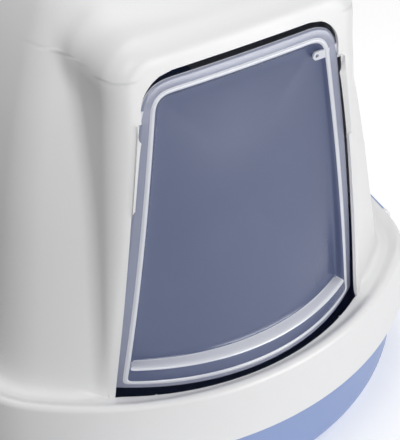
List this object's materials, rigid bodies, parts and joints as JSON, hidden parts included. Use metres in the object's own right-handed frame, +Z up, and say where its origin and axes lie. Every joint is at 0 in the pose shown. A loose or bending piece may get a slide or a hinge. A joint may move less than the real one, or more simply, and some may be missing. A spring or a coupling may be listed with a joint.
{
  "type": "hooded cat litter box",
  "caption": "Oval litter tub with a lift-off dome hood, a tapered doorway with a swinging see-through flap, side latches, a folding handle and a vented filter cover.",
  "frame": {"origin": "middle of the outer box in plan, on the floor under the tub", "axes": "+Z up, -Y towards the front with the doorway, +X to the right seen from the front"},
  "size_m": [0.4052, 0.549, 0.416],
  "materials": {
    "white_plastic": "satin moulded",
    "blue_plastic": "satin moulded",
    "smoke_plastic": "tinted, see-through, gloss",
    "grey_plastic": "satin moulded",
    "carbon_felt": "charcoal felt"
  },
  "bodies": {
    "pan": {"base_pan": "blue_plastic"},
    "hood": {"hood": "white_plastic", "handle_pin_left": "grey_plastic", "handle_pin_right": "grey_plastic", "latch_pin_front_left": "grey_plastic", "latch_pin_rear_left": "grey_plastic", "latch_pin_front_right": "grey_plastic", "latch_pin_rear_right": "grey_plastic"},
    "flap": {"door_flap": "smoke_plastic", "flap_pivot_left": "smoke_plastic", "flap_pivot_right": "smoke_plastic"},
    "handle": {"carry_handle": "blue_plastic"},
    "filter_lid": {"filter_cover": "white_plastic", "filter_frame": "grey_plastic", "carbon_filter": "carbon_felt"},
    "latch_front_left": {"latch_front_left": "blue_plastic"},
    "latch_rear_left": {"latch_rear_left": "blue_plastic"},
    "latch_front_right": {"latch_front_right": "blue_plastic"},
    "latch_rear_right": {"latch_rear_right": "blue_plastic"}
  },
  "joints": [
    {"name": "hood_lift", "type": "slide", "parent": "pan", "child": "hood", "axis": [0, 0, 1], "range_m": [0, 0.14]},
    {"name": "flap_swing", "type": "hinge", "parent": "hood", "child": "flap", "pos_m": [0, -0.2205, 0.325], "axis": [1, 0, 0], "range_deg": [-75, 75]},
    {"name": "handle_fold", "type": "hinge", "parent": "hood", "child": "handle", "pos_m": [0, -0.008, 0.409], "axis": [-1, 0, 0], "range_deg": [0, 90]},
    {"name": "filter_lift", "type": "slide", "parent": "hood", "child": "filter_lid", "axis": [0, 0, 1], "range_m": [0, 0.03]},
    {"name": "latch_front_left_turn", "type": "hinge", "parent": "hood", "child": "latch_front_left", "pos_m": [-0.19412, -0.13075, 0.092], "axis": [-0.114, 0.9935, 0], "range_deg": [0, 100]},
    {"name": "latch_rear_left_turn", "type": "hinge", "parent": "hood", "child": "latch_rear_left", "pos_m": [-0.19412, 0.13075, 0.092], "axis": [0.114, 0.9935, 0], "range_deg": [0, 100]},
    {"name": "latch_front_right_turn", "type": "hinge", "parent": "hood", "child": "latch_front_right", "pos_m": [0.19412, -0.13075, 0.092], "axis": [-0.114, -0.9935, 0], "range_deg": [0, 100]},
    {"name": "latch_rear_right_turn", "type": "hinge", "parent": "hood", "child": "latch_rear_right", "pos_m": [0.19412, 0.13075, 0.092], "axis": [0.114, -0.9935, 0], "range_deg": [0, 100]}
  ]
}
